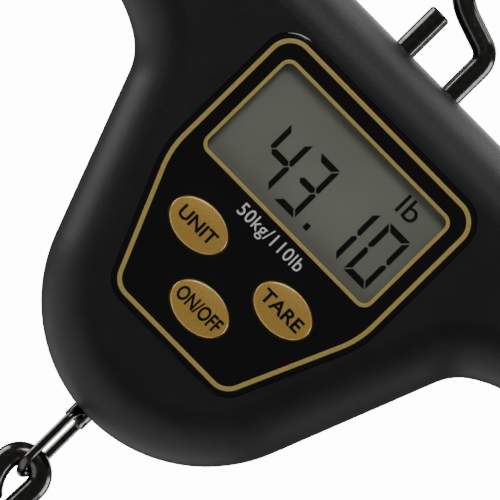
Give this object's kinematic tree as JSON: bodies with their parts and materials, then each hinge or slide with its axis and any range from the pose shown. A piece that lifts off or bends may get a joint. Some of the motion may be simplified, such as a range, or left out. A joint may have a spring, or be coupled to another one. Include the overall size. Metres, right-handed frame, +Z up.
{
  "type": "digital luggage scale",
  "caption": "Two-handed hanging luggage scale with a digital display, push keys, a wire hook on top and a swivelling link and load hook below.",
  "frame": {"origin": "inside of the top hook's bowl, at the point where the scale hangs", "axes": "+Z up along the hook line, +X to the right seen from the front, the display faces -Y"},
  "size_m": [0.195, 0.0311, 0.1989],
  "materials": {
    "housing": "fine matte grain",
    "label": "glossy film with printed border",
    "window": "clear glossy lens",
    "display": "satin grey-green display",
    "inner_plastic": "satin",
    "contact_rubber": "matte",
    "board": "solder resist",
    "component": "moulded epoxy",
    "steel": "zinc plated",
    "load_cell": "milled",
    "gauge": "foil on film",
    "lead_sleeve": "soft sleeve",
    "hook_wire": "dark nickel plate",
    "battery_case": "printed sleeve",
    "contact": "nickel plate",
    "key": "glossy metallic gold"
  },
  "bodies": {
    "housing": {"front_housing": "housing", "rear_housing": "housing", "housing_screws": "steel", "label_overlay": "label", "display_window": "window", "lcd_glass": "display", "lcd_frame": "inner_plastic", "zebra_strips": "contact_rubber", "circuit_board": "board", "board_components": "component", "board_screws": "steel", "key_switches": "component", "load_cell": "load_cell", "cell_screws": "steel", "load_pin": "steel", "pin_bush": "steel", "strain_gauges": "gauge", "load_cell_leads": "lead_sleeve", "top_hook": "hook_wire", "swivel_retainer": "steel", "thrust_washer": "steel", "battery_1": "battery_case", "battery_2": "battery_case", "battery_contacts": "contact", "battery_springs": "contact", "battery_leads": "lead_sleeve"},
    "unit_key": {"button_unit": "key", "plunger_unit": "inner_plastic"},
    "tare_key": {"button_tare": "key", "plunger_tare": "inner_plastic"},
    "on_off_key": {"button_on_off": "key", "plunger_on_off": "inner_plastic"},
    "battery_cover": {"battery_door": "housing"},
    "swivel": {"swivel_stem": "hook_wire", "swivel_nut": "steel", "clevis_pin": "steel"},
    "link": {"chain_link": "hook_wire"},
    "hook": {"load_hook": "hook_wire"}
  },
  "joints": [
    {"name": "unit_press", "type": "slide", "parent": "housing", "child": "unit_key", "axis": [0, 1, 0], "range_m": [0, 0.0004], "stiffness_N_per_m": 3000, "springref_m": -0.0004},
    {"name": "tare_press", "type": "slide", "parent": "housing", "child": "tare_key", "axis": [0, 1, 0], "range_m": [0, 0.0004], "stiffness_N_per_m": 3000, "springref_m": -0.0004},
    {"name": "on_off_press", "type": "slide", "parent": "housing", "child": "on_off_key", "axis": [0, 1, 0], "range_m": [0, 0.0004], "stiffness_N_per_m": 3000, "springref_m": -0.0004},
    {"name": "door_hinge", "type": "hinge", "parent": "housing", "child": "battery_cover", "pos_m": [0.0252, 0.0138, -0.04488], "axis": [1, 0, 0], "range_deg": [0, 88]},
    {"name": "swivel_turn", "type": "hinge", "parent": "housing", "child": "swivel", "pos_m": [0, 0, -0.10258], "axis": [0, 0, 1], "continuous": true},
    {"name": "link_swing", "type": "hinge", "parent": "swivel", "child": "link", "pos_m": [0, 0, -0.13888], "axis": [-0.9563, 0.2924, 0], "range_deg": [-30, 30]},
    {"name": "hook_swing", "type": "hinge", "parent": "link", "child": "hook", "pos_m": [0, 0, -0.15528], "axis": [0, 1, 0], "range_deg": [-60, 60]}
  ]
}
